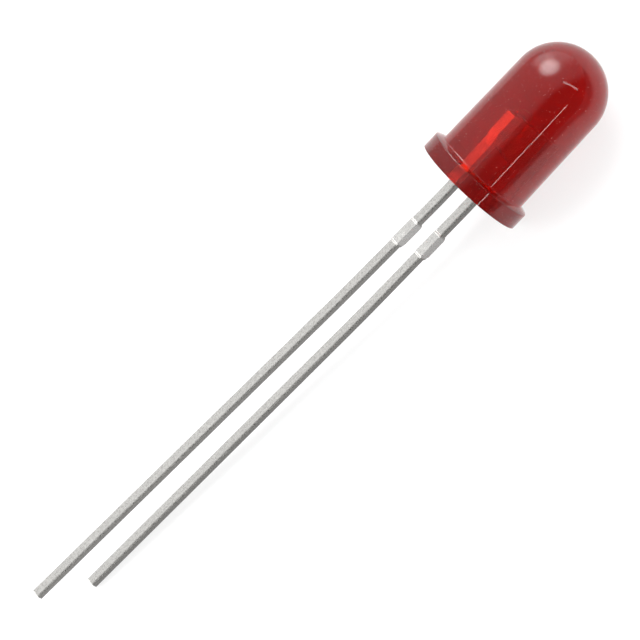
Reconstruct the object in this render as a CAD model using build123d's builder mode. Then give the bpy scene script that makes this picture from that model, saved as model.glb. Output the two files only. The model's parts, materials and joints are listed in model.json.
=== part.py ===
from build123d import *
from math import atan2, cos, radians, sin, tan
import os

# A round light-emitting diode with two stamped leads, lying on the edge of its flange flat
# and on the tip of its cathode lead. Lengths are in millimetres and angles in degrees.

# Lens: a drafted round body with a domed end, moulded in one with its flange
lens_height = 8.73
body_diameter = 5.0
dome_diameter = 4.88
flange_diameter = 5.85
flange_rim_height = 0.84
flange_height = 1.0
flange_edge_radius = 0.07
flange_root_radius = 0.1
flat_offset = 2.55

# Resin collars that climb the leads under the flange
collar_wall = 0.12
collar_height = 0.2
collar_taper = 25

# Leads: square strips stamped from one sheet, measured downwards from the flange
lead_pitch = 2.54
lead_width = 0.45
sheet_thickness = 0.45
lead_roll_radius = 0.1
lead_edge_radius = 0.03
anode_length = 28.9
cathode_length = 27.0

# Bends of the tails, all to one side of the row of leads
exit_bend_depth = 1.2
exit_bend_radius = 30
tail_bend_depth = 8.0
tail_bend_radius = 150
anode_exit_angle = 1.8
anode_tail_angle = 2.7
cathode_exit_angle = 0.9
cathode_tail_angle = 2.2

# Stops: what the cropped tie bar leaves on each lead, a stub on one side and a low step on the other
stop_depth = 2.8
stop_height = 1.5
stop_reach = 0.12
stop_shoulder_height = 0.16
stop_foot_height = 0.26
stop_radius = 0.2
step_reach = 0.05
step_height = 0.09

# Anode post inside the lens
stamping_radius = 0.06
post_neck_height = 2.37
post_head_height = 3.07
post_height = 4.26
post_flare = 0.215
post_head_width = 0.86

# Cathode anvil inside the lens, with a reflector cup coined into its top on the lens axis
anvil_neck_height = 2.1
anvil_tip_height = 2.5
anvil_height = 4.3
anvil_reach = 0.4
cup_rim_diameter = 1.04
cup_mouth_diameter = 0.88
cup_floor_diameter = 0.5
cup_depth = 0.3
cup_body_height = 0.9
cup_foot_share = 0.4

# Die on its pad of adhesive in the cup
attach_diameter = 0.42
attach_thickness = 0.03
attach_taper = 30
die_width = 0.25
die_height = 0.16

# Bond wire from the die to the post, with its ball and its stitch in shares of its diameter
wire_diameter = 0.05
wire_loop_rise = 0.45
wire_loop_radius = 0.36
ball_diameter_share = 2.2
ball_height_share = 0.8
stitch_diameter_share = 2.6
stitch_height_share = 0.7

# Places that follow from the sizes
body_radius = body_diameter / 2
dome_radius = dome_diameter / 2
dome_centre = lens_height - dome_radius
flange_radius = flange_diameter / 2
lead_place = lead_pitch / 2
lead_half = lead_width / 2
cup_floor_height = anvil_height - cup_depth
die_seat_height = cup_floor_height + attach_thickness
die_top_height = die_seat_height + die_height
ball_height = wire_diameter * ball_height_share
stitch_height = wire_diameter * stitch_height_share
stitch_place = lead_place
wire_loop_height = max(die_top_height, anvil_height, post_height) + wire_loop_rise

# Rest: the flange flat's lower edge and the cathode's tip touch the ground together
lead_reach = lead_place + lead_half
rest_tilt = atan2(flat_offset - lead_reach, cathode_length)
dome_end = dome_centre * cos(rest_tilt) + dome_radius
tail_end = anode_length * cos(rest_tilt) + lead_reach * sin(rest_tilt)

# Seat: the flange's underside, x along the row of leads towards the anode, z up the lens axis
seat = Plane(
    origin=((tail_end - dome_end) / 2, 0, flat_offset * cos(rest_tilt)),
    x_dir=(-sin(rest_tilt), 0, cos(rest_tilt)),
    z_dir=(cos(rest_tilt), 0, sin(rest_tilt)),
)
underside = Plane(origin=seat.origin, x_dir=seat.x_dir, z_dir=-seat.z_dir)
stamping = Plane(origin=seat.origin, x_dir=seat.x_dir, z_dir=-seat.y_dir)
flat_face = Plane(origin=seat.origin - seat.x_dir * flat_offset, x_dir=seat.y_dir, z_dir=seat.x_dir)
lens_axis = Axis(seat.origin, seat.z_dir)


def formed_tail(place, length, exit_angle, tail_angle):
    """One lead below the flange: a strip along two gentle bends, with its stop."""
    exit_lean = radians(exit_angle)
    tail_lean = radians(tail_angle)
    tail_offset = (tail_bend_depth - exit_bend_depth) * tan(exit_lean)
    tip_offset = tail_offset + (length - tail_bend_depth) * tan(tail_lean)
    top = seat.origin + seat.x_dir * place
    bend = top - seat.z_dir * exit_bend_depth
    stop_top = exit_bend_depth - stop_depth
    stop_bottom = stop_top - stop_height
    with BuildPart() as tail:
        with BuildLine(Plane(origin=top, x_dir=seat.y_dir, z_dir=seat.x_dir)):
            FilletPolyline(
                (0, 0),
                (0, -exit_bend_depth),
                (-tail_offset, -tail_bend_depth),
                (-tip_offset, -length),
                radius=(exit_bend_radius, tail_bend_radius),
            )
        with BuildSketch(Plane(origin=top, x_dir=seat.x_dir, z_dir=-seat.z_dir)):
            section = Rectangle(lead_width, sheet_thickness)
            rolled, sharp = section.vertices().group_by(Axis.Y)
            fillet(rolled, lead_roll_radius)
            fillet(sharp, lead_edge_radius)
        sweep()
        leaning = seat.z_dir * sin(exit_lean) - seat.y_dir * cos(exit_lean)
        with BuildSketch(Plane(origin=bend, x_dir=seat.x_dir, z_dir=leaning)):
            with BuildLine():
                FilletPolyline(
                    (lead_half, stop_top),
                    (lead_half + step_reach, stop_top - step_height),
                    (lead_half + step_reach, stop_bottom + step_height),
                    (lead_half, stop_bottom),
                    (-lead_half, stop_bottom),
                    (-lead_half - stop_reach, stop_bottom + stop_foot_height),
                    (-lead_half - stop_reach, stop_top - stop_shoulder_height),
                    (-lead_half, stop_top),
                    radius=(0, 0, 0, 0, 0, stop_radius, stop_radius, 0),
                    close=True,
                )
            make_face()
        extrude(amount=sheet_thickness / 2, both=True)
    return tail.part


anode_tail = formed_tail(lead_place, anode_length, anode_exit_angle, anode_tail_angle)
cathode_tail = formed_tail(-lead_place, cathode_length, cathode_exit_angle, cathode_tail_angle)

# Anode lead: the bond post stands on the tail
post_outer = lead_reach + post_flare
post_inner = post_outer - post_head_width
with BuildPart() as anode_lead:
    add(anode_tail)
    with BuildSketch(stamping):
        with BuildLine():
            post_side = FilletPolyline(
                (lead_place + lead_half, 0),
                (lead_place + lead_half, post_neck_height),
                (post_outer, post_head_height),
                (post_outer, post_height),
                (post_inner, post_height),
                (post_inner, post_head_height),
                (lead_place - lead_half, post_neck_height),
                (lead_place - lead_half, 0),
                radius=stamping_radius,
            )
            Line(post_side @ 1, post_side @ 0)
        make_face()
    extrude(amount=sheet_thickness / 2, both=True)

# Cathode lead: the anvil stands on the tail and carries the coined cup
with BuildPart() as cathode_lead:
    add(cathode_tail)
    with BuildSketch(stamping):
        with BuildLine():
            anvil_side = FilletPolyline(
                (-lead_place - lead_half, 0),
                (-lead_place - lead_half, anvil_height),
                (anvil_reach, anvil_height),
                (anvil_reach, anvil_tip_height),
                (-lead_place + lead_half, anvil_neck_height),
                (-lead_place + lead_half, 0),
                radius=stamping_radius,
            )
            Line(anvil_side @ 1, anvil_side @ 0)
        make_face()
    extrude(amount=sheet_thickness / 2, both=True)
    with BuildSketch(stamping):
        with BuildLine():
            Polyline(
                (0, anvil_height - cup_body_height),
                (sheet_thickness * cup_foot_share, anvil_height - cup_body_height),
                (cup_rim_diameter / 2, anvil_height),
                (0, anvil_height),
                close=True,
            )
        make_face()
    revolve(axis=lens_axis)
    with BuildSketch(stamping):
        with BuildLine():
            Polyline(
                (0, cup_floor_height),
                (cup_floor_diameter / 2, cup_floor_height),
                (cup_mouth_diameter / 2, anvil_height),
                (0, anvil_height),
                close=True,
            )
        make_face()
    revolve(axis=lens_axis, mode=Mode.SUBTRACT)

# Die attach: a low pad of adhesive on the cup's floor
with BuildPart() as die_attach:
    with BuildSketch(seat.offset(cup_floor_height)):
        Circle(attach_diameter / 2)
    extrude(amount=attach_thickness, taper=attach_taper)

# Die: a sawn square chip
with BuildPart() as die:
    with BuildSketch(seat.offset(die_seat_height)):
        Rectangle(die_width, die_width)
    extrude(amount=die_height)

# Bond wire: up from the ball, in an arch over the cup's rim and down to the stitch on the post
with BuildPart() as bond_wire:
    with BuildLine(stamping):
        FilletPolyline(
            (0, die_top_height + ball_height / 2),
            (0, wire_loop_height),
            (stitch_place, wire_loop_height),
            (stitch_place, post_height + stitch_height / 2),
            radius=wire_loop_radius,
        )
    with BuildSketch(seat.offset(die_top_height + ball_height / 2)):
        Circle(wire_diameter / 2)
    sweep()
    with BuildSketch(seat.offset(die_top_height)):
        Circle(wire_diameter * ball_diameter_share / 2)
    extrude(amount=ball_height)
    with BuildSketch(seat.offset(post_height)):
        with Locations((stitch_place, 0)):
            Circle(wire_diameter * stitch_diameter_share / 2)
    extrude(amount=stitch_height)

# Lens: moulded around everything above the flange's underside
with BuildPart() as lens:
    with BuildSketch(stamping):
        with BuildLine():
            FilletPolyline(
                (0, 0),
                (flange_radius, 0),
                (flange_radius, flange_rim_height),
                (body_radius, flange_height),
                (dome_radius, dome_centre),
                radius=(0, flange_edge_radius, flange_root_radius),
            )
            CenterArc((0, dome_centre), dome_radius, 0, 90)
            Line((0, lens_height), (0, 0))
        make_face()
    revolve(axis=lens_axis)
    split(bisect_by=flat_face, keep=Keep.TOP)
    with BuildSketch(underside):
        with Locations((-lead_place, 0), (lead_place, 0)):
            Rectangle(lead_width + 2 * collar_wall, sheet_thickness + 2 * collar_wall)
    extrude(amount=collar_height, taper=collar_taper)
    for embedded in (anode_lead, cathode_lead, die_attach, die, bond_wire):
        add(embedded.part, mode=Mode.SUBTRACT)

lens.part.label = "lens"
anode_lead.part.label = "anode_lead"
cathode_lead.part.label = "cathode_lead"
die_attach.part.label = "die_attach"
die.part.label = "die"
bond_wire.part.label = "bond_wire"

os.makedirs("parts", exist_ok=True)
export_step(lens.part, "parts/lens.step")
export_step(anode_lead.part, "parts/anode_lead.step")
export_step(cathode_lead.part, "parts/cathode_lead.step")
export_step(die_attach.part, "parts/die_attach.step")
export_step(die.part, "parts/die.step")
export_step(bond_wire.part, "parts/bond_wire.step")
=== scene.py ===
from collections import namedtuple
import json
import math

import bmesh
import bpy
from mathutils import Matrix, Vector


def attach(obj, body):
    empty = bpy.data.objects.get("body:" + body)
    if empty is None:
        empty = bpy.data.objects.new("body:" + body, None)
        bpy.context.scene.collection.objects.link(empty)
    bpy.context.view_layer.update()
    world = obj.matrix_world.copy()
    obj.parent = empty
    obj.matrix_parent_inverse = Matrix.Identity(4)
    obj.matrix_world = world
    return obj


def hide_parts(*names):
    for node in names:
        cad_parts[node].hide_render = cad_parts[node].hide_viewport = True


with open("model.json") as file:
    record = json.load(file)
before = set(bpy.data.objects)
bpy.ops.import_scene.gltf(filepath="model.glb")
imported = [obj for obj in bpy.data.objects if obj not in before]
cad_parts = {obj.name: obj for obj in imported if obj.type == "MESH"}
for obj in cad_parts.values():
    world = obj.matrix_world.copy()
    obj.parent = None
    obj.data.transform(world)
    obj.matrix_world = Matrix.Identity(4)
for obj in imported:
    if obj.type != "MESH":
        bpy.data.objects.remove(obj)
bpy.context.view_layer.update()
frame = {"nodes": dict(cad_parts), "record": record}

MM = 0.001

# Lens sizes, as in the part's own solid
LENS_HEIGHT = 8.73 * MM
BODY_RADIUS = 2.5 * MM
DOME_RADIUS = 2.44 * MM
FLANGE_RADIUS = 2.925 * MM
FLANGE_RIM_HEIGHT = 0.84 * MM
FLANGE_HEIGHT = 1.0 * MM
FLANGE_EDGE_RADIUS = 0.07 * MM
FLANGE_ROOT_RADIUS = 0.1 * MM
FLAT_OFFSET = 2.55 * MM
COLLAR_WALL = 0.12 * MM
COLLAR_HEIGHT = 0.2 * MM
COLLAR_TAPER = math.radians(25)
LEAD_WIDTH = 0.45 * MM

# Mesh fineness of the lens, and the angle from which an edge looks sharp
FLAT_STEPS = 24
ROUND_STEPS = 168
EDGE_STEPS = 5
DOME_STEPS = 40
WALL_STEPS = 10
SHARP_ANGLE = math.radians(24)

# In the looks below, a noise has features per metre and octaves of detail, a band is a pair of levels
# between which something fades in, and a pair of roughnesses or colours goes with that band's two ends
MIDDLE_BAND = (0.35, 0.65)

# Tinted epoxy: colours of the surface, swirls in them, and a flange darkened as painted shade
EPOXY_IOR = 1.5
EPOXY_MIRROR = (0.95, 0.95, 0.95, 1.0)
EPOXY_COLOURS = ((0.95, 0.06, 0.02, 1.0), (0.85, 0.07, 0.03, 1.0))
# The flange's darker tint is painted shade
FLANGE_SHADE_COLOUR = (0.55, 0.045, 0.015, 1.0)
SWIRL_NOISE = (700.0, 3.0)

# Tinted epoxy: smudges on the gloss, rare nicks, and the mould's faint waves
SMUDGE_NOISE = (900.0, 4.0)
SMUDGE_BAND = (0.3, 0.7)
SMUDGE_ROUGHNESS = (0.02, 0.045)
NICK_NOISE = (14000.0, 2.0)
NICK_BAND = (0.69, 0.74)
NICK_ROUGHNESS = 0.3
WAVE_NOISE = (1100.0, 1.0)
WAVE_SHARE = 0.25
EPOXY_BUMP = 0.5
EPOXY_RELIEF = 0.02 * MM

# Tinted epoxy: the dye and the fine filler in its depth
DYE_COLOUR = (0.8, 0.14, 0.02, 1.0)
DYE_DENSITY = 1000.0
FILLER_COLOUR = (1.0, 0.2, 0.1, 1.0)
FILLER_DENSITY = 400.0
FILLER_FORWARD = 0.6
DEPTH_BOUNCES = 4

# Tinned leads: colours of the cut faces, the rolled faces darkened as painted shade, the stops, the sheared
# lips and the silver heads
CUT_COLOURS = ((0.48, 0.472, 0.456, 1.0), (0.54, 0.532, 0.514, 1.0))
# Rolled faces, on the stops too: tin colour darkened as painted shade
ROLLED_SHADED_COLOURS = ((0.165, 0.161, 0.153, 1.0), (0.195, 0.19, 0.18, 1.0))
CUT_STOP_COLOUR = (0.55, 0.543, 0.527, 1.0)
ROLLED_STOP_SHADED_COLOUR = (0.36, 0.353, 0.345, 1.0)
SHEARED_COLOUR = (0.3, 0.295, 0.285, 1.0)
HEAD_COLOUR = (0.95, 0.94, 0.92, 1.0)
GRAIN_NOISE = (16000.0, 4.0)
GRAIN_STRETCH = 10.0
MOTTLE_NOISE = (9000.0, 3.0)
SPECKLE_BAND = (0.72, 1.28)
ROLLED_BAND = (0.3, 0.9)
SHEARED_BAND = (0.3, 0.45)
HEAD_FADE = 0.1 * MM

# Tinned leads: gloss, worn corners and the strip's slight waves
SATIN_BAND = (0.3, 0.7)
SATIN_ROUGHNESS = (0.25, 0.3)
SHEARED_ROUGHENING = 0.25
HEAD_ROUGHNESS = (0.32, 0.85)
CORNER_WEAR = 0.04 * MM
CORNER_SAMPLES = 8
STRIP_NOISE = (2500.0, 1.0)
STRIP_SHARE = 0.6
TIN_BUMP = 0.2
TIN_RELIEF = 0.012 * MM

# Stops on the leads, measured up from the seat, and the press marks across their feet
STOP_LOW = -4.3 * MM
STOP_HIGH = -2.8 * MM
STOP_FADE = 0.15 * MM
MARKS_HIGH = -3.5 * MM
MARK_PITCH = 0.17 * MM
MARK_WANDER = 9.0
MARK_SHARE = 0.8

# Die: sawn crystal
DIE_COLOURS = ((0.2, 0.15, 0.11, 1.0), (0.34, 0.28, 0.21, 1.0))
DIE_ROUGHNESS = (0.5, 0.3)
DIE_NOISE = (60000.0, 3.0)
SAW_PITCH = 0.02 * MM
SAW_SHARE = 0.1

# Die attach: adhesive with silver flakes
ADHESIVE_COLOURS = ((0.5, 0.49, 0.46, 1.0), (0.72, 0.72, 0.7, 1.0))
ADHESIVE_ROUGHNESS = (0.7, 0.45)
ADHESIVE_METAL = 0.7
FLAKE_NOISE = (90000.0, 2.0)
FLAKE_BAND = (0.4, 0.6)

# Bond wire: drawn gold
GOLD_COLOURS = ((0.84, 0.58, 0.2, 1.0), (0.94, 0.7, 0.3, 1.0))
GOLD_ROUGHNESS = (0.28, 0.16)
GOLD_NOISE = (70000.0, 3.0)

# The photograph's view: turn about the lens axis, tilt towards the dome, roll and scale
VIEW_TURN = math.radians(28.5)
VIEW_TILT = math.radians(8.7)
AXIS_IN_IMAGE = math.radians(46.757)
IMAGE_SIDE = 640
PIXELS_PER_MM = 20.77
SEAT_PIXEL = (469.03, 186.54)
CAMERA_DISTANCE = 800 * MM
SENSOR_WIDTH = 36.0
CLIP_START = 10 * MM
CLIP_END = 10000 * MM

# Floor: a white table, with shade on the tent's dim side that starts just outside the picture
FLOOR_SIDE = 2000 * MM
FLOOR_WHITE = 0.82
FLOOR_SHADE = 0.25
PAPER_SHARE = 0.7
SHADE_MARGIN = 0.3 * MM
SHADE_BESIDE_PART = 3.0 * MM
SHADE_FADE = 10.0 * MM

# Tent: where its bright side ends, how far that side comes round in front of the dome, and its levels
TENT_EDGE = math.radians(8.7)
TENT_FRONT = 0.25
TENT_BRIGHT = 0.78
TENT_DIM = 0.14
TENT_SOFTNESS = 0.18
GLOW_FALLOFF = 3.0

# Two thin gaps of light in the tent: one along the lens, and a bar over the dome
LAMP_DISTANCE = 600 * MM
LAMP_LENGTH = 400 * MM
GAP_WIDTH = 18 * MM
GAP_RADIANCE = 8.0
BAR_WIDTH = 45 * MM
BAR_RADIANCE = 5.0


def mount(name):
    """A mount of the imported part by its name."""
    return next(m for m in frame["record"]["mounts"] if m["name"] == name)


# The part's own directions, read from its mounts
seat = Vector(mount("flange_seat")["pos_m"])
axis_dir = -Vector(mount("flange_seat")["axis"])
anode_point = Vector(mount("anode_pin")["pos_m"])
cathode_point = Vector(mount("cathode_pin")["pos_m"])
row_dir = (anode_point - cathode_point).normalized()
sheet_dir = axis_dir.cross(row_dir)
lead_place = (anode_point - cathode_point).length / 2

# The photograph's directions at the part: towards the camera, across the lens and along it
facing_dir = math.cos(VIEW_TURN) * row_dir + math.sin(VIEW_TURN) * sheet_dir
across_dir = math.cos(VIEW_TURN) * sheet_dir - math.sin(VIEW_TURN) * row_dir
camera_dir = math.cos(VIEW_TILT) * facing_dir + math.sin(VIEW_TILT) * axis_dir
along_dir = math.cos(VIEW_TILT) * axis_dir - math.sin(VIEW_TILT) * facing_dir
right_dir = math.cos(AXIS_IN_IMAGE) * along_dir + math.sin(AXIS_IN_IMAGE) * across_dir
up_dir = math.sin(AXIS_IN_IMAGE) * along_dir - math.cos(AXIS_IN_IMAGE) * across_dir


def seen(camera, along, across):
    """A direction by its shares towards the camera, along the lens and across it."""
    return (camera * camera_dir + along * along_dir + across * across_dir).normalized()


def around(turn, lean):
    """A direction turned about the lens axis to the camera's right and leaning from the dome, in degrees."""
    turn = math.radians(turn)
    lean = math.radians(lean)
    outwards = math.cos(turn) * facing_dir + math.sin(turn) * across_dir
    return math.sin(lean) * outwards + math.cos(lean) * axis_dir


# Lamps behind the tent's cloth: the main one with its haze, spill and halo, two low on the camera's left
# and one low on its right, each with the angle in degrees at which its glow ends
Glow = namedtuple("Glow", "direction reach peak")
MAIN_LAMP = seen(camera=0.462, along=0.413, across=-0.785)
GLOWS = (
    Glow(MAIN_LAMP, reach=33, peak=8.2),
    Glow(seen(camera=0.0, along=0.386, across=-0.922), reach=30, peak=1.8),
    Glow(seen(camera=-0.036, along=0.75, across=-0.66), reach=42, peak=1.0),
    Glow(MAIN_LAMP, reach=70, peak=0.35),
    Glow(around(turn=-58, lean=131), reach=26, peak=9.5),
    Glow(around(turn=-58, lean=152), reach=24, peak=4.0),
    Glow(around(turn=38, lean=132), reach=30, peak=18.0),
)

# Where the two gaps of light stand, and which way the bar over the dome runs
GAP_PLACE = around(turn=36.3, lean=109)
BAR_PLACE = seen(camera=0.846, along=0.502, across=0.182)
BAR_RUN = seen(camera=0.0, along=0.372, across=0.926)


def in_part(row, sheet, up):
    """A point given along the row of leads, across the sheet and up the lens axis."""
    return seat + row_dir * row + sheet_dir * sheet + axis_dir * up


def add_object(name, data):
    """A new object in the scene."""
    made = bpy.data.objects.new(name, data)
    bpy.context.scene.collection.objects.link(made)
    return made


def stand(item, place, right, up, back):
    """Puts a camera or a lamp at a place, looking away from its back."""
    turned = Matrix((right, up, back)).transposed().to_4x4()
    item.matrix_world = Matrix.Translation(place) @ turned


def wear(data, material):
    """Gives a mesh its one material."""
    data.materials.clear()
    data.materials.append(material)


# Lens mesh


def arc_points(corner, before, after, radius, steps):
    """Points of the round that replaces a corner between two other points."""
    corner = Vector(corner)
    back = (Vector(before) - corner).normalized()
    ahead = (Vector(after) - corner).normalized()
    half = back.angle(ahead) / 2
    start = corner + back * (radius / math.tan(half))
    end = corner + ahead * (radius / math.tan(half))
    centre = corner + (back + ahead).normalized() * (radius / math.sin(half))
    sweep = (end - centre).angle(start - centre)
    points = []
    for step in range(steps + 1):
        share = step / steps
        weight_start = math.sin((1 - share) * sweep) / math.sin(sweep)
        weight_end = math.sin(share * sweep) / math.sin(sweep)
        points.append(centre + (start - centre) * weight_start + (end - centre) * weight_end)
    return points


def lens_profile():
    """Radius and height from the underside's edge up to just under the dome's pole."""
    dome_centre = LENS_HEIGHT - DOME_RADIUS
    foot = (FLANGE_RADIUS, 0)
    rim = (FLANGE_RADIUS, FLANGE_RIM_HEIGHT)
    root = (BODY_RADIUS, FLANGE_HEIGHT)
    wall_top = (DOME_RADIUS, dome_centre)
    points = [Vector(foot)]
    points += arc_points(rim, foot, root, FLANGE_EDGE_RADIUS, EDGE_STEPS)
    points += arc_points(root, rim, wall_top, FLANGE_ROOT_RADIUS, EDGE_STEPS)
    wall_foot = points[-1]
    for step in range(1, WALL_STEPS):
        points.append(wall_foot.lerp(Vector(wall_top), step / WALL_STEPS))
    for step in range(DOME_STEPS):
        angle = math.pi / 2 * step / DOME_STEPS
        points.append(Vector((DOME_RADIUS * math.cos(angle), dome_centre + DOME_RADIUS * math.sin(angle))))
    return points


def ring_angles():
    """Angles round the lens, with a vertex at each end of the flange's flat."""
    half = math.acos(FLAT_OFFSET / FLANGE_RADIUS)
    flat_start = math.pi - half
    angles = [flat_start + 2 * half * step / FLAT_STEPS for step in range(FLAT_STEPS)]
    rest = 2 * (math.pi - half)
    angles += [math.pi + half + rest * step / ROUND_STEPS for step in range(ROUND_STEPS)]
    return angles


def lens_mesh():
    """The closed outer form of the lens, with the flange's flat cut in the rings that reach it."""
    mesh = bpy.data.meshes.new("lens_dressed")
    built = bmesh.new()
    angles = ring_angles()
    rings = []
    for radius, height in lens_profile():
        ring = []
        for angle in angles:
            row = max(radius * math.cos(angle), -FLAT_OFFSET)
            ring.append(built.verts.new(in_part(row, radius * math.sin(angle), height)))
        rings.append(ring)
    count = len(angles)
    for lower, upper in zip(rings, rings[1:]):
        for here in range(count):
            there = (here + 1) % count
            built.faces.new((lower[here], lower[there], upper[there], upper[here]))
    pole = built.verts.new(in_part(0, 0, LENS_HEIGHT))
    foot = built.verts.new(in_part(0, 0, 0))
    for here in range(count):
        there = (here + 1) % count
        built.faces.new((rings[-1][here], rings[-1][there], pole))
        built.faces.new((rings[0][there], rings[0][here], foot))
    bmesh.ops.recalc_face_normals(built, faces=built.faces)
    built.to_mesh(mesh)
    built.free()
    return mesh


def collar_mesh(place):
    """The resin that climbs one lead under the flange, rooted inside the lens."""
    mesh = bpy.data.meshes.new("collar")
    built = bmesh.new()
    base = LEAD_WIDTH / 2 + COLLAR_WALL
    slope = math.tan(COLLAR_TAPER)
    levels = []
    for height in (COLLAR_HEIGHT, 0, -COLLAR_HEIGHT):
        half = base + min(height, 0) * slope
        corners = ((half, half), (-half, half), (-half, -half), (half, -half))
        levels.append([built.verts.new(in_part(place + row, sheet, height)) for row, sheet in corners])
    for upper, lower in zip(levels, levels[1:]):
        for here in range(len(upper)):
            there = (here + 1) % len(upper)
            built.faces.new((upper[here], lower[here], lower[there], upper[there]))
    built.faces.new(levels[0])
    built.faces.new(levels[-1])
    bmesh.ops.recalc_face_normals(built, faces=built.faces)
    built.to_mesh(mesh)
    built.free()
    return mesh


def join_collars(lens):
    """Unites the two resin collars with the lens, so that it stays one closed form."""
    for place in (-lead_place, lead_place):
        collar = add_object("collar", collar_mesh(place))
        union = lens.modifiers.new("collar", "BOOLEAN")
        union.operation = "UNION"
        union.solver = "EXACT"
        union.object = collar
        graph = bpy.context.evaluated_depsgraph_get()
        lens.data = bpy.data.meshes.new_from_object(lens.evaluated_get(graph))
        lens.modifiers.clear()
        bpy.data.objects.remove(collar)


def build_lens():
    """The dressed lens, which stands for the solid of the same form."""
    lens = add_object("lens_dressed", lens_mesh())
    join_collars(lens)
    for face in lens.data.polygons:
        face.use_smooth = True
    lens.data.set_sharp_from_angle(angle=SHARP_ANGLE)
    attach(lens, "root")
    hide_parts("lens")
    wear(lens.data, epoxy_material())


# Steps that the materials share


def new_material(name):
    """A node material, its tree and its main shader."""
    made = bpy.data.materials.new(name)
    made.use_nodes = True
    return made, made.node_tree, made.node_tree.nodes["Principled BSDF"]


def node(tree, kind, **values):
    """A shader node with its properties and its input values set."""
    made = tree.nodes.new(kind)
    for key, value in values.items():
        if key in made.inputs:
            made.inputs[key].default_value = value
        else:
            setattr(made, key, value)
    return made


def ramp(tree, value, start, end, low=0.0, high=1.0):
    """A smooth step of a value between two levels."""
    made = node(tree, "ShaderNodeMapRange", interpolation_type="SMOOTHSTEP")
    made.inputs["From Min"].default_value = start
    made.inputs["From Max"].default_value = end
    made.inputs["To Min"].default_value = low
    made.inputs["To Max"].default_value = high
    tree.links.new(value, made.inputs["Value"])
    return made.outputs["Result"]


def maths(tree, operation, *values):
    """One step of arithmetic on sockets and plain numbers."""
    made = node(tree, "ShaderNodeMath", operation=operation)
    for value, socket in zip(values, made.inputs):
        if isinstance(value, (int, float)):
            socket.default_value = value
        else:
            tree.links.new(value, socket)
    return made.outputs["Value"]


def noise(tree, place, scale, detail):
    """Fractal noise at a place."""
    made = node(tree, "ShaderNodeTexNoise", Scale=scale, Detail=detail)
    tree.links.new(place, made.inputs["Vector"])
    return made.outputs["Fac"]


def mix_colour(tree, factor, first, second):
    """A mix of two colours, each a socket or a plain value."""
    made = node(tree, "ShaderNodeMix", data_type="RGBA")
    colours = [socket for socket in made.inputs if socket.type == "RGBA"]
    tree.links.new(factor, made.inputs["Factor"])
    for value, socket in zip((first, second), colours):
        if isinstance(value, tuple):
            socket.default_value = value
        else:
            tree.links.new(value, socket)
    return next(socket for socket in made.outputs if socket.type == "RGBA")


def surface_place(tree):
    """The place of a surface point in the part's frame."""
    return node(tree, "ShaderNodeTexCoord").outputs["Object"]


def towards(tree, vector, direction):
    """How far a vector reaches in a direction."""
    measured = node(tree, "ShaderNodeVectorMath", operation="DOT_PRODUCT")
    measured.inputs[1].default_value = direction.normalized()
    tree.links.new(vector, measured.inputs[0])
    return measured.outputs["Value"]


def along(tree, place, direction):
    """How far a surface point lies from the seat in one of the part's directions, in metres."""
    from_seat = node(tree, "ShaderNodeVectorMath", operation="SUBTRACT")
    from_seat.inputs[1].default_value = seat
    tree.links.new(place, from_seat.inputs[0])
    return towards(tree, from_seat.outputs["Vector"], direction)


def turned_to(tree, direction, band):
    """One on faces turned to a direction or away from it, and nothing on the others."""
    normal = node(tree, "ShaderNodeNewGeometry").outputs["True Normal"]
    return ramp(tree, maths(tree, "ABSOLUTE", towards(tree, normal, direction)), *band)


def between(tree, value, low, high, fade):
    """One between two levels of a value and nothing outside them, with soft ends."""
    rise = ramp(tree, value, low, low + fade)
    fall = ramp(tree, value, high - fade, high, 1.0, 0.0)
    return maths(tree, "MULTIPLY", rise, fall)


# Materials


def epoxy_material():
    """Tinted epoxy: clear deep red, a little cloudy in its depth, with a lightly handled gloss."""
    made, tree, shader = new_material("tinted_epoxy_look")
    shader.inputs["IOR"].default_value = EPOXY_IOR
    shader.inputs["Transmission Weight"].default_value = 1.0
    shader.inputs["Specular Tint"].default_value = EPOXY_MIRROR

    # Moulding swirls in the tint, with painted shade that darkens it in the flange
    place = surface_place(tree)
    swirl = ramp(tree, noise(tree, place, *SWIRL_NOISE), *MIDDLE_BAND)
    tint = mix_colour(tree, swirl, *EPOXY_COLOURS)
    flange_shade_mask = ramp(tree, along(tree, place, axis_dir), FLANGE_RIM_HEIGHT, FLANGE_HEIGHT, 1.0, 0.0)
    tree.links.new(mix_colour(tree, flange_shade_mask, tint, FLANGE_SHADE_COLOUR), shader.inputs["Base Color"])

    # Smudges, rare nicks and the mould's waves
    nicks = ramp(tree, noise(tree, place, *NICK_NOISE), *NICK_BAND)
    smudges = ramp(tree, noise(tree, place, *SMUDGE_NOISE), *SMUDGE_BAND, *SMUDGE_ROUGHNESS)
    rough = maths(tree, "MULTIPLY_ADD", nicks, NICK_ROUGHNESS, smudges)
    tree.links.new(rough, shader.inputs["Roughness"])
    waves = noise(tree, place, *WAVE_NOISE)
    bump = node(tree, "ShaderNodeBump", Strength=EPOXY_BUMP, Distance=EPOXY_RELIEF)
    tree.links.new(maths(tree, "MULTIPLY_ADD", waves, WAVE_SHARE, nicks), bump.inputs["Height"])
    tree.links.new(bump.outputs["Normal"], shader.inputs["Normal"])

    # The dye takes green and blue out of the light, and fine filler clouds the depth
    dye = node(tree, "ShaderNodeVolumeAbsorption", Color=DYE_COLOUR, Density=DYE_DENSITY)
    filler = node(tree, "ShaderNodeVolumeScatter", Color=FILLER_COLOUR, Density=FILLER_DENSITY)
    filler.inputs["Anisotropy"].default_value = FILLER_FORWARD
    filled = node(tree, "ShaderNodeAddShader")
    tree.links.new(dye.outputs["Volume"], filled.inputs[0])
    tree.links.new(filler.outputs["Volume"], filled.inputs[1])
    tree.links.new(filled.outputs["Shader"], tree.nodes["Material Output"].inputs["Volume"])
    return made


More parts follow.
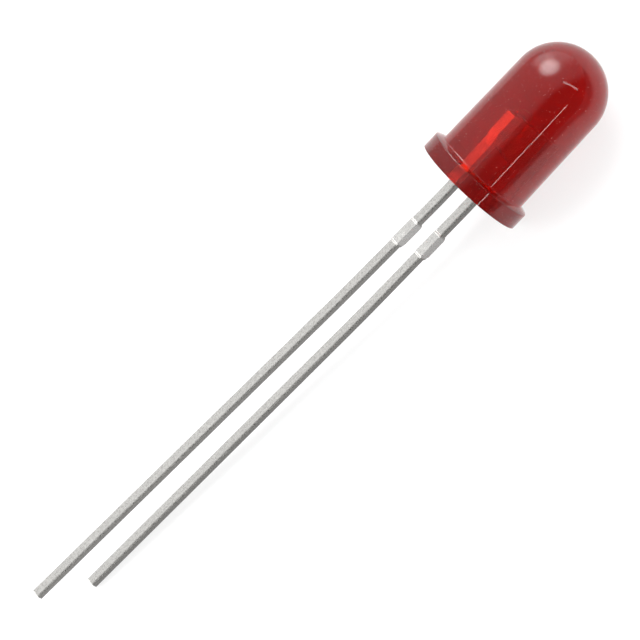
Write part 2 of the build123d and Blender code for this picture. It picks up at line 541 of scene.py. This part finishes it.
def tin_material():
    """Tin plated strip, satin, with the silver plated head that the lens is moulded round."""
    made, tree, shader = new_material("tinned_steel_look")
    shader.inputs["Metallic"].default_value = 1.0
    place = surface_place(tree)
    up = along(tree, place, axis_dir)
    embedded = ramp(tree, up, -HEAD_FADE, HEAD_FADE)
    on_stop = between(tree, up, STOP_LOW, STOP_HIGH, STOP_FADE)
    rolled = turned_to(tree, sheet_dir, ROLLED_BAND)
    sheared = turned_to(tree, axis_dir, SHEARED_BAND)

    # Grain drawn out along the lead, and a fine mottle
    drawn = node(tree, "ShaderNodeCombineXYZ")
    tree.links.new(along(tree, place, row_dir), drawn.inputs["X"])
    tree.links.new(along(tree, place, sheet_dir), drawn.inputs["Y"])
    tree.links.new(maths(tree, "DIVIDE", up, GRAIN_STRETCH), drawn.inputs["Z"])
    grain = noise(tree, drawn.outputs["Vector"], *GRAIN_NOISE)
    mottle = noise(tree, place, *MOTTLE_NOISE)
    patchy = ramp(tree, maths(tree, "ADD", grain, mottle), *SPECKLE_BAND)

    # Cut faces, rolled faces darkened as painted shade, rubbed stops, sheared lips and ends, and the silver
    # head
    cut_face = mix_colour(tree, on_stop, mix_colour(tree, patchy, *CUT_COLOURS), CUT_STOP_COLOUR)
    # The rolled faces' darker colour is painted shade
    shaded_rolled_face = mix_colour(tree, on_stop, mix_colour(tree, patchy, *ROLLED_SHADED_COLOURS), ROLLED_STOP_SHADED_COLOUR)
    strip = mix_colour(tree, rolled, cut_face, shaded_rolled_face)
    tin = mix_colour(tree, sheared, strip, SHEARED_COLOUR)
    tree.links.new(mix_colour(tree, embedded, tin, HEAD_COLOUR), shader.inputs["Base Color"])

    # Satin gloss, rougher where the strip is sheared, and matt on the rolled faces inside the lens
    satin = ramp(tree, mottle, *SATIN_BAND, *SATIN_ROUGHNESS)
    rough = node(tree, "ShaderNodeMix", data_type="FLOAT")
    tree.links.new(embedded, rough.inputs["Factor"])
    tree.links.new(maths(tree, "MULTIPLY_ADD", sheared, SHEARED_ROUGHENING, satin), rough.inputs["A"])
    tree.links.new(ramp(tree, rolled, 0.0, 1.0, *HEAD_ROUGHNESS), rough.inputs["B"])
    tree.links.new(rough.outputs["Result"], shader.inputs["Roughness"])

    # Press marks across the foot of the stops, the strip's slight waves, and its worn corners
    waves = noise(tree, place, *STRIP_NOISE)
    wander = maths(tree, "MULTIPLY", waves, MARK_WANDER)
    marks = maths(tree, "SINE", maths(tree, "MULTIPLY_ADD", up, 2 * math.pi / MARK_PITCH, wander))
    marked = between(tree, up, STOP_LOW, MARKS_HIGH, STOP_FADE)
    pressed = maths(tree, "MULTIPLY", maths(tree, "MULTIPLY", marks, marked), MARK_SHARE)
    worn_corners = node(tree, "ShaderNodeBevel", samples=CORNER_SAMPLES, Radius=CORNER_WEAR)
    bump = node(tree, "ShaderNodeBump", Strength=TIN_BUMP, Distance=TIN_RELIEF)
    tree.links.new(maths(tree, "MULTIPLY_ADD", waves, STRIP_SHARE, pressed), bump.inputs["Height"])
    tree.links.new(worn_corners.outputs["Normal"], bump.inputs["Normal"])
    tree.links.new(bump.outputs["Normal"], shader.inputs["Normal"])
    return made


def die_material():
    """Sawn crystal, with the saw's fine lines round its sides."""
    made, tree, shader = new_material("semiconductor_look")
    place = surface_place(tree)
    turns = maths(tree, "MULTIPLY", along(tree, place, axis_dir), 2 * math.pi / SAW_PITCH)
    lines = maths(tree, "SINE", turns)
    grain = noise(tree, place, *DIE_NOISE)
    worn = ramp(tree, maths(tree, "MULTIPLY_ADD", lines, SAW_SHARE, grain), *MIDDLE_BAND)
    tree.links.new(mix_colour(tree, worn, *DIE_COLOURS), shader.inputs["Base Color"])
    tree.links.new(ramp(tree, worn, 0.0, 1.0, *DIE_ROUGHNESS), shader.inputs["Roughness"])
    return made


def adhesive_material():
    """Cured adhesive, crowded with silver flakes."""
    made, tree, shader = new_material("silver_adhesive_look")
    shader.inputs["Metallic"].default_value = ADHESIVE_METAL
    flakes = ramp(tree, noise(tree, surface_place(tree), *FLAKE_NOISE), *FLAKE_BAND)
    tree.links.new(mix_colour(tree, flakes, *ADHESIVE_COLOURS), shader.inputs["Base Color"])
    tree.links.new(ramp(tree, flakes, 0.0, 1.0, *ADHESIVE_ROUGHNESS), shader.inputs["Roughness"])
    return made


def gold_material():
    """Drawn gold wire, brighter in faint patches."""
    made, tree, shader = new_material("gold_wire_look")
    shader.inputs["Metallic"].default_value = 1.0
    patches = ramp(tree, noise(tree, surface_place(tree), *GOLD_NOISE), *MIDDLE_BAND)
    tree.links.new(mix_colour(tree, patches, *GOLD_COLOURS), shader.inputs["Base Color"])
    tree.links.new(ramp(tree, patches, 0.0, 1.0, *GOLD_ROUGHNESS), shader.inputs["Roughness"])
    return made


def dress_nodes():
    """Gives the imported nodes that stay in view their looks."""
    tin = tin_material()
    looks = {
        "anode_lead": tin,
        "cathode_lead": tin,
        "die": die_material(),
        "die_attach": adhesive_material(),
        "bond_wire": gold_material(),
    }
    for name, look in looks.items():
        wear(frame["nodes"][name].data, look)


# Stage, light and camera


def floor_shade(tree):
    """Shade right of the picture and beside the part, from none to full."""
    place = surface_place(tree)
    picture_side = Vector((right_dir.x, right_dir.y, 0))
    part_side = Vector((across_dir.x, across_dir.y, 0))
    picture_edge = (IMAGE_SIDE - SEAT_PIXEL[0]) / PIXELS_PER_MM * MM + SHADE_MARGIN
    edge_reach = (picture_edge + seat.z * right_dir.z) / picture_side.length
    past_picture = ramp(tree, along(tree, place, picture_side), edge_reach, edge_reach + SHADE_FADE)
    part_reach = SHADE_BESIDE_PART + SHADE_FADE
    beside_part = ramp(tree, along(tree, place, part_side), SHADE_BESIDE_PART, part_reach)
    return maths(tree, "MULTIPLY", past_picture, beside_part)


def floor_material():
    """White paper that the camera, metal and glass see as white, and that still takes the part's shadow."""
    made, tree, shader = new_material("floor_look")
    shader.inputs["Roughness"].default_value = 1.0
    shader.inputs["Specular IOR Level"].default_value = 0.0
    shade = floor_shade(tree)
    white = (FLOOR_WHITE, FLOOR_WHITE, FLOOR_WHITE, 1.0)
    grey = (FLOOR_SHADE, FLOOR_SHADE, FLOOR_SHADE, 1.0)
    tree.links.new(mix_colour(tree, shade, white, grey), shader.inputs["Base Color"])
    paper = node(tree, "ShaderNodeEmission")
    tree.links.new(ramp(tree, shade, 0.0, 1.0, 1.0, FLOOR_SHADE), paper.inputs["Strength"])
    rays = node(tree, "ShaderNodeLightPath").outputs
    mirrored = maths(tree, "MAXIMUM", rays["Is Glossy Ray"], rays["Is Transmission Ray"])
    shown = maths(tree, "MAXIMUM", rays["Is Camera Ray"], mirrored)
    mixed = node(tree, "ShaderNodeMixShader")
    tree.links.new(maths(tree, "MULTIPLY", shown, PAPER_SHARE), mixed.inputs["Fac"])
    tree.links.new(shader.outputs["BSDF"], mixed.inputs[1])
    tree.links.new(paper.outputs["Emission"], mixed.inputs[2])
    tree.links.new(mixed.outputs["Shader"], tree.nodes["Material Output"].inputs["Surface"])
    return made


def build_floor():
    """A plain white floor under the part."""
    half = FLOOR_SIDE / 2
    corners = [(-half, -half, 0), (half, -half, 0), (half, half, 0), (-half, half, 0)]
    mesh = bpy.data.meshes.new("floor")
    mesh.from_pydata(corners, [], [(0, 1, 2, 3)])
    mesh.materials.append(floor_material())
    add_object("floor", mesh)


def build_world():
    """A light tent, bright on the left of the camera and dim on its right, with lamps glowing through it."""
    world = bpy.data.worlds.new("tent")
    bpy.context.scene.world = world
    world.use_nodes = True
    tree = world.node_tree
    view = node(tree, "ShaderNodeTexCoord").outputs["Generated"]
    bright_side = TENT_FRONT * axis_dir - across_dir * math.cos(TENT_EDGE) - facing_dir * math.sin(TENT_EDGE)
    side = towards(tree, view, bright_side)
    level = ramp(tree, side, -TENT_SOFTNESS, TENT_SOFTNESS, TENT_DIM, TENT_BRIGHT)
    for glow in GLOWS:
        nearness = ramp(tree, towards(tree, view, glow.direction), math.cos(math.radians(glow.reach)), 1.0)
        shining = maths(tree, "POWER", nearness, GLOW_FALLOFF)
        level = maths(tree, "MULTIPLY_ADD", shining, glow.peak, level)
    background = tree.nodes["Background"]
    background.inputs["Color"].default_value = (1.0, 1.0, 1.0, 1.0)
    tree.links.new(level, background.inputs["Strength"])


def build_lamp(name, direction, run, width, radiance):
    """A long area lamp that stands in a direction from the lens, faces it and runs along another."""
    data = bpy.data.lights.new(name, "AREA")
    data.shape = "RECTANGLE"
    data.size = LAMP_LENGTH
    data.size_y = width
    data.energy = radiance * LAMP_LENGTH * width * math.pi
    side = (run - direction * run.dot(direction)).normalized()
    place = in_part(0, 0, LENS_HEIGHT / 2) + direction * LAMP_DISTANCE
    stand(add_object(name, data), place, side, direction.cross(side), direction)


def build_lamps():
    """The two thin gaps of light."""
    build_lamp("gap", GAP_PLACE, axis_dir, GAP_WIDTH, GAP_RADIANCE)
    build_lamp("bar", BAR_PLACE, BAR_RUN, BAR_WIDTH, BAR_RADIANCE)


def build_camera():
    """The photograph's view of the part, as seen from some way off."""
    data = bpy.data.cameras.new("camera")
    data.sensor_width = SENSOR_WIDTH
    data.lens = SENSOR_WIDTH * CAMERA_DISTANCE / (IMAGE_SIDE / PIXELS_PER_MM * MM)
    data.clip_start = CLIP_START
    data.clip_end = CLIP_END
    seat_right = (SEAT_PIXEL[0] - IMAGE_SIDE / 2) / PIXELS_PER_MM * MM
    seat_up = (IMAGE_SIDE / 2 - SEAT_PIXEL[1]) / PIXELS_PER_MM * MM
    target = seat - right_dir * seat_right - up_dir * seat_up
    camera = add_object("camera", data)
    stand(camera, target + camera_dir * CAMERA_DISTANCE, right_dir, up_dir, camera_dir)
    bpy.context.scene.camera = camera


build_lens()
dress_nodes()
build_floor()
build_world()
build_lamps()
build_camera()
bpy.context.scene.view_settings.view_transform = "Standard"
bpy.context.scene.cycles.volume_bounces = DEPTH_BOUNCES
